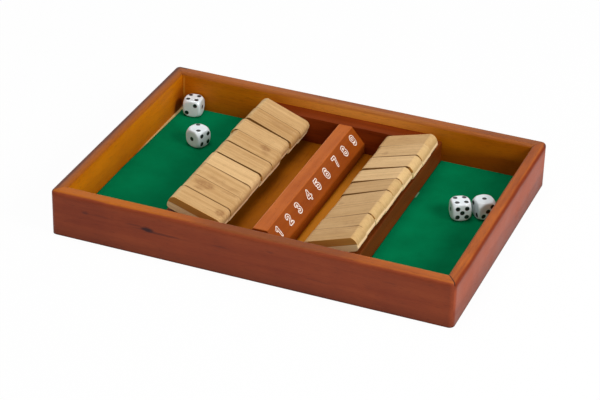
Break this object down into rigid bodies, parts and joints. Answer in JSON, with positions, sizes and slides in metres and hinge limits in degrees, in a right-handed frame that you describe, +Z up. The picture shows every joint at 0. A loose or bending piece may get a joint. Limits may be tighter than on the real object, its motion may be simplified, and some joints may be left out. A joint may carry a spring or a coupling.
{
  "type": "shut the box game",
  "caption": "Mitred wooden tray with a felt dice well at each end, a numbered central ridge, rows of hinged flip tiles along both sides of it, and loose dice.",
  "frame": {"origin": "centre of the tray's underside, on the table", "axes": "+X along the tray's length to the right-hand well, +Y across the tray away from the front wall, +Z up"},
  "size_m": [0.34, 0.242, 0.0424],
  "materials": {
    "wall_wood": "satin varnish, reddish brown outside",
    "floor_wood": "satin, amber",
    "felt": "green baize",
    "rail_wood": "satin varnish, dark red-brown",
    "bar_wood": "satin varnish, red-brown with painted white numbers",
    "rod_steel": "bright drawn wire",
    "tile_wood": "bare bamboo",
    "die_plastic": "glossy white with black pips"
  },
  "bodies": {
    "tray": {"front_wall": "wall_wood", "back_wall": "wall_wood", "left_wall": "wall_wood", "right_wall": "wall_wood", "floor_panel": "floor_wood", "felt_left": "felt", "felt_right": "felt", "left_cross_rail": "rail_wood", "right_cross_rail": "rail_wood", "front_rail": "rail_wood", "back_rail": "rail_wood", "number_bar": "bar_wood", "rod_left": "rod_steel", "rod_right": "rod_steel"},
    "tile_left_1": {"tile_left_1": "tile_wood"},
    "tile_left_2": {"tile_left_2": "tile_wood"},
    "tile_left_3": {"tile_left_3": "tile_wood"},
    "tile_left_4": {"tile_left_4": "tile_wood"},
    "tile_left_5": {"tile_left_5": "tile_wood"},
    "tile_left_6": {"tile_left_6": "tile_wood"},
    "tile_left_7": {"tile_left_7": "tile_wood"},
    "tile_left_8": {"tile_left_8": "tile_wood"},
    "tile_left_9": {"tile_left_9": "tile_wood"},
    "tile_right_1": {"tile_right_1": "tile_wood"},
    "tile_right_2": {"tile_right_2": "tile_wood"},
    "tile_right_3": {"tile_right_3": "tile_wood"},
    "tile_right_4": {"tile_right_4": "tile_wood"},
    "tile_right_5": {"tile_right_5": "tile_wood"},
    "tile_right_6": {"tile_right_6": "tile_wood"},
    "tile_right_7": {"tile_right_7": "tile_wood"},
    "tile_right_8": {"tile_right_8": "tile_wood"},
    "tile_right_9": {"tile_right_9": "tile_wood"},
    "die_1": {"die_1": "die_plastic"},
    "die_2": {"die_2": "die_plastic"},
    "die_3": {"die_3": "die_plastic"},
    "die_4": {"die_4": "die_plastic"}
  },
  "joints": [
    {"name": "tile_left_1_hinge", "type": "hinge", "parent": "tray", "child": "tile_left_1", "pos_m": [-0.0424, 0.08324, 0.024], "axis": [0, 1, 0], "range_deg": [0, 143]},
    {"name": "tile_left_2_hinge", "type": "hinge", "parent": "tray", "child": "tile_left_2", "pos_m": [-0.0424, 0.06243, 0.024], "axis": [0, 1, 0], "range_deg": [0, 140.8]},
    {"name": "tile_left_3_hinge", "type": "hinge", "parent": "tray", "child": "tile_left_3", "pos_m": [-0.0424, 0.04162, 0.024], "axis": [0, 1, 0], "range_deg": [0, 141.4]},
    {"name": "tile_left_4_hinge", "type": "hinge", "parent": "tray", "child": "tile_left_4", "pos_m": [-0.0424, 0.02081, 0.024], "axis": [0, 1, 0], "range_deg": [0, 142.9]},
    {"name": "tile_left_5_hinge", "type": "hinge", "parent": "tray", "child": "tile_left_5", "pos_m": [-0.0424, 0, 0.024], "axis": [0, 1, 0], "range_deg": [0, 143.1]},
    {"name": "tile_left_6_hinge", "type": "hinge", "parent": "tray", "child": "tile_left_6", "pos_m": [-0.0424, -0.02081, 0.024], "axis": [0, 1, 0], "range_deg": [0, 142.4]},
    {"name": "tile_left_7_hinge", "type": "hinge", "parent": "tray", "child": "tile_left_7", "pos_m": [-0.0424, -0.04162, 0.024], "axis": [0, 1, 0], "range_deg": [0, 141.8]},
    {"name": "tile_left_8_hinge", "type": "hinge", "parent": "tray", "child": "tile_left_8", "pos_m": [-0.0424, -0.06243, 0.024], "axis": [0, 1, 0], "range_deg": [0, 141.1]},
    {"name": "tile_left_9_hinge", "type": "hinge", "parent": "tray", "child": "tile_left_9", "pos_m": [-0.0424, -0.08324, 0.024], "axis": [0, 1, 0], "range_deg": [0, 140.2]},
    {"name": "tile_right_1_hinge", "type": "hinge", "parent": "tray", "child": "tile_right_1", "pos_m": [0.0424, -0.08324, 0.024], "axis": [0, -1, 0], "range_deg": [0, 141]},
    {"name": "tile_right_2_hinge", "type": "hinge", "parent": "tray", "child": "tile_right_2", "pos_m": [0.0424, -0.06243, 0.024], "axis": [0, -1, 0], "range_deg": [0, 142]},
    {"name": "tile_right_3_hinge", "type": "hinge", "parent": "tray", "child": "tile_right_3", "pos_m": [0.0424, -0.04162, 0.024], "axis": [0, -1, 0], "range_deg": [0, 141.5]},
    {"name": "tile_right_4_hinge", "type": "hinge", "parent": "tray", "child": "tile_right_4", "pos_m": [0.0424, -0.02081, 0.024], "axis": [0, -1, 0], "range_deg": [0, 143.3]},
    {"name": "tile_right_5_hinge", "type": "hinge", "parent": "tray", "child": "tile_right_5", "pos_m": [0.0424, 0, 0.024], "axis": [0, -1, 0], "range_deg": [0, 143.1]},
    {"name": "tile_right_6_hinge", "type": "hinge", "parent": "tray", "child": "tile_right_6", "pos_m": [0.0424, 0.02081, 0.024], "axis": [0, -1, 0], "range_deg": [0, 143.2]},
    {"name": "tile_right_7_hinge", "type": "hinge", "parent": "tray", "child": "tile_right_7", "pos_m": [0.0424, 0.04162, 0.024], "axis": [0, -1, 0], "range_deg": [0, 142.5]},
    {"name": "tile_right_8_hinge", "type": "hinge", "parent": "tray", "child": "tile_right_8", "pos_m": [0.0424, 0.06243, 0.024], "axis": [0, -1, 0], "range_deg": [0, 142.2]},
    {"name": "tile_right_9_hinge", "type": "hinge", "parent": "tray", "child": "tile_right_9", "pos_m": [0.0424, 0.08324, 0.024], "axis": [0, -1, 0], "range_deg": [0, 143.5]},
    {"name": "die_1_lift", "type": "slide", "parent": "tray", "child": "die_1", "axis": [0, 0, 1], "range_m": [0, 0.09]},
    {"name": "die_2_lift", "type": "slide", "parent": "tray", "child": "die_2", "axis": [0, 0, 1], "range_m": [0, 0.09]},
    {"name": "die_3_lift", "type": "slide", "parent": "tray", "child": "die_3", "axis": [0, 0, 1], "range_m": [0, 0.09]},
    {"name": "die_4_lift", "type": "slide", "parent": "tray", "child": "die_4", "axis": [0, 0, 1], "range_m": [0, 0.09]}
  ]
}
